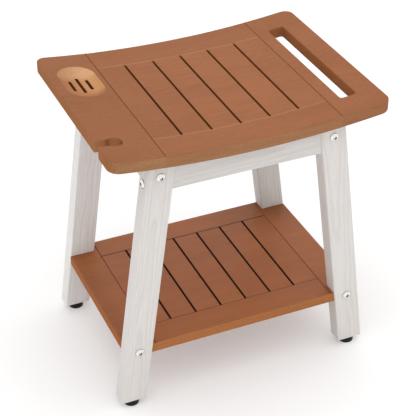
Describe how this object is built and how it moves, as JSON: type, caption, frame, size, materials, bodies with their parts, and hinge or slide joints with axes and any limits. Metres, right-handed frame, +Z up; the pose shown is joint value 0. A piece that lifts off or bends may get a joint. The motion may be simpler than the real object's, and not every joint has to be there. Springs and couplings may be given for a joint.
{
  "type": "shower bench",
  "caption": "Shower bench with a slatted saddle seat, hand slot, soap dish and keyhole notch, splayed legs, a slatted shelf and levelling feet.",
  "frame": {"origin": "on the floor, under the middle of the seat", "axes": "+X along the seat to the end with the hand slot, +Y from front to back, +Z up"},
  "size_m": [0.424, 0.3264, 0.4497],
  "materials": {
    "seat_wood": "satin reddish-brown stain",
    "shelf_wood": "satin reddish-brown stain",
    "white_wood": "white-washed, embossed grain",
    "dowel_wood": "bare wood",
    "steel": "bright plated",
    "stud_steel": "plated thread",
    "brass": "turned",
    "black_plastic": "matte"
  },
  "bodies": {
    "bench": {"seat_end_board_left": "seat_wood", "seat_end_board_right": "seat_wood", "seat_front_rail": "seat_wood", "seat_back_rail": "seat_wood", "seat_slat_1": "seat_wood", "seat_slat_2": "seat_wood", "seat_slat_3": "seat_wood", "seat_slat_4": "seat_wood", "seat_slat_5": "seat_wood", "seat_slat_6": "seat_wood", "shelf_end_board_left": "shelf_wood", "shelf_end_board_right": "shelf_wood", "shelf_front_rail": "shelf_wood", "shelf_back_rail": "shelf_wood", "shelf_slat_1": "shelf_wood", "shelf_slat_2": "shelf_wood", "shelf_slat_3": "shelf_wood", "shelf_slat_4": "shelf_wood", "shelf_slat_5": "shelf_wood", "shelf_slat_6": "shelf_wood", "shelf_slat_7": "shelf_wood", "leg_front_left": "white_wood", "leg_front_right": "white_wood", "leg_back_left": "white_wood", "leg_back_right": "white_wood", "apron_front": "white_wood", "apron_back": "white_wood", "side_rail_left": "white_wood", "side_rail_right": "white_wood", "seat_dowels": "dowel_wood", "shelf_dowels": "dowel_wood", "frame_dowels": "dowel_wood", "face_bolts": "steel", "face_barrel_nuts": "steel", "side_bolts": "steel", "side_barrel_nuts": "steel", "shelf_bolts": "steel", "shelf_barrel_nuts": "steel", "seat_screws": "steel", "foot_inserts": "brass"},
    "pad_front_left": {"foot_pad_front_left": "black_plastic"},
    "stud_front_left": {"foot_stud_front_left": "stud_steel"},
    "pad_front_right": {"foot_pad_front_right": "black_plastic"},
    "stud_front_right": {"foot_stud_front_right": "stud_steel"},
    "pad_back_left": {"foot_pad_back_left": "black_plastic"},
    "stud_back_left": {"foot_stud_back_left": "stud_steel"},
    "pad_back_right": {"foot_pad_back_right": "black_plastic"},
    "stud_back_right": {"foot_stud_back_right": "stud_steel"}
  },
  "joints": [
    {"name": "foot_slide_front_left", "type": "slide", "parent": "bench", "child": "pad_front_left", "axis": [0, 0, -1], "range_m": [0, 0.0075]},
    {"name": "foot_turn_front_left", "type": "hinge", "parent": "pad_front_left", "child": "stud_front_left", "pos_m": [-0.1847, -0.1294, 0], "axis": [0, 0, -1], "range_deg": [0, 2160]},
    {"name": "foot_slide_front_right", "type": "slide", "parent": "bench", "child": "pad_front_right", "axis": [0, 0, -1], "range_m": [0, 0.0075]},
    {"name": "foot_turn_front_right", "type": "hinge", "parent": "pad_front_right", "child": "stud_front_right", "pos_m": [0.1847, -0.1294, 0], "axis": [0, 0, -1], "range_deg": [0, 2160]},
    {"name": "foot_slide_back_left", "type": "slide", "parent": "bench", "child": "pad_back_left", "axis": [0, 0, -1], "range_m": [0, 0.0075]},
    {"name": "foot_turn_back_left", "type": "hinge", "parent": "pad_back_left", "child": "stud_back_left", "pos_m": [-0.1847, 0.1294, 0], "axis": [0, 0, -1], "range_deg": [0, 2160]},
    {"name": "foot_slide_back_right", "type": "slide", "parent": "bench", "child": "pad_back_right", "axis": [0, 0, -1], "range_m": [0, 0.0075]},
    {"name": "foot_turn_back_right", "type": "hinge", "parent": "pad_back_right", "child": "stud_back_right", "pos_m": [0.1847, 0.1294, 0], "axis": [0, 0, -1], "range_deg": [0, 2160]}
  ],
  "couplings": [
    {"joint": "foot_slide_front_left", "follows": "foot_turn_front_left", "m_per_rad": 0.00019894},
    {"joint": "foot_slide_front_right", "follows": "foot_turn_front_right", "m_per_rad": 0.00019894},
    {"joint": "foot_slide_back_left", "follows": "foot_turn_back_left", "m_per_rad": 0.00019894},
    {"joint": "foot_slide_back_right", "follows": "foot_turn_back_right", "m_per_rad": 0.00019894}
  ]
}
